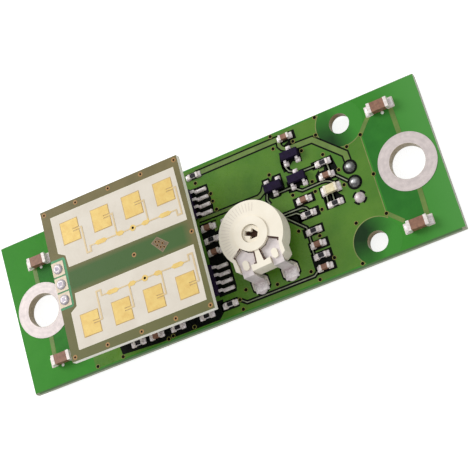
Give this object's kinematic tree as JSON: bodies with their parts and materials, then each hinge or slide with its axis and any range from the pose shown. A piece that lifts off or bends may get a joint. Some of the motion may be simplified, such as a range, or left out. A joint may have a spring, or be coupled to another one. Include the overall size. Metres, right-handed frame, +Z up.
{
  "type": "radar motion sensor module",
  "caption": "Long narrow circuit board with a square patch-antenna board raised on pins, a round trimmer, chips and solder terminals.",
  "frame": {"origin": "centre of the footprint, level with the cut ends of the pins on which the module rests", "axes": "+X along the board from the antenna board towards the three solder terminals, +Z up out of the component side, +Y across the board"},
  "size_m": [0.073, 0.0254, 0.0113],
  "materials": {
    "solder_mask": "green solder resist over glass laminate",
    "tinned_copper": "dull tin on copper",
    "laminate": "thin resist over white high-frequency laminate",
    "etched_copper": "gold flash on copper",
    "solder": "bright solder with flux",
    "tinned_pin": "tinned",
    "can_metal": "tinned sheet",
    "ceramic": "sintered ceramic",
    "chip_moulding": "matt epoxy",
    "trimmer_plastic": "cream engineering plastic",
    "track_ceramic": "ceramic with a carbon film",
    "trimmer_metal": "tinned strip",
    "resistor_glaze": "black glaze on white ceramic",
    "capacitor_ceramic": "brown sintered ceramic",
    "lamp_resin": "cloudy cast resin",
    "lamp_ends": "gold flash",
    "cap_ends": "tinned",
    "chip_leads": "tinned"
  },
  "bodies": {
    "root": {"amplifier_body": "chip_moulding", "amplifier_leads": "chip_leads", "antenna_board": "laminate", "antenna_joints": "solder", "antenna_pin_1": "tinned_pin", "antenna_pin_2": "tinned_pin", "antenna_pin_3": "tinned_pin", "antenna_pin_lands": "etched_copper", "comparator_body": "chip_moulding", "comparator_leads": "chip_leads", "corner_capacitor_1_body": "capacitor_ceramic", "corner_capacitor_1_ends": "cap_ends", "corner_capacitor_2_body": "capacitor_ceramic", "corner_capacitor_2_ends": "cap_ends", "corner_capacitor_3_body": "capacitor_ceramic", "corner_capacitor_3_ends": "cap_ends", "corner_capacitor_4_body": "capacitor_ceramic", "corner_capacitor_4_ends": "cap_ends", "diode_pair_body": "chip_moulding", "diode_pair_leads": "chip_leads", "foot_joints": "solder", "indicator_lamp_body": "lamp_resin", "indicator_lamp_ends": "lamp_ends", "main_board": "solder_mask", "mixer_diodes": "chip_moulding", "oscillator_transistor": "chip_moulding", "output_transistor_body": "chip_moulding", "output_transistor_leads": "chip_leads", "receive_array": "etched_copper", "regulator_body": "chip_moulding", "regulator_leads": "chip_leads", "resonator_puck": "ceramic", "ring_land_left": "tinned_copper", "ring_land_right": "tinned_copper", "shield_can": "can_metal", "small_capacitor_bodies": "capacitor_ceramic", "small_capacitor_ends": "cap_ends", "small_resistor_bodies": "resistor_glaze", "small_resistor_ends": "cap_ends", "terminal_joints": "solder", "terminal_pins": "tinned_pin", "transmit_array": "etched_copper", "trimmer_collector": "trimmer_metal", "trimmer_housing": "trimmer_plastic", "trimmer_rear_cover": "trimmer_plastic", "trimmer_terminal_left": "trimmer_metal", "trimmer_terminal_right": "trimmer_metal", "trimmer_track_plate": "track_ceramic"},
    "rotor": {"trimmer_rotor": "trimmer_plastic", "trimmer_wiper": "trimmer_metal"}
  },
  "joints": [
    {"name": "sensitivity_turn", "type": "hinge", "parent": "root", "child": "rotor", "pos_m": [0.00675, -0.0029, 0.007], "axis": [0, 0, 1], "range_deg": [-90, 144]}
  ]
}
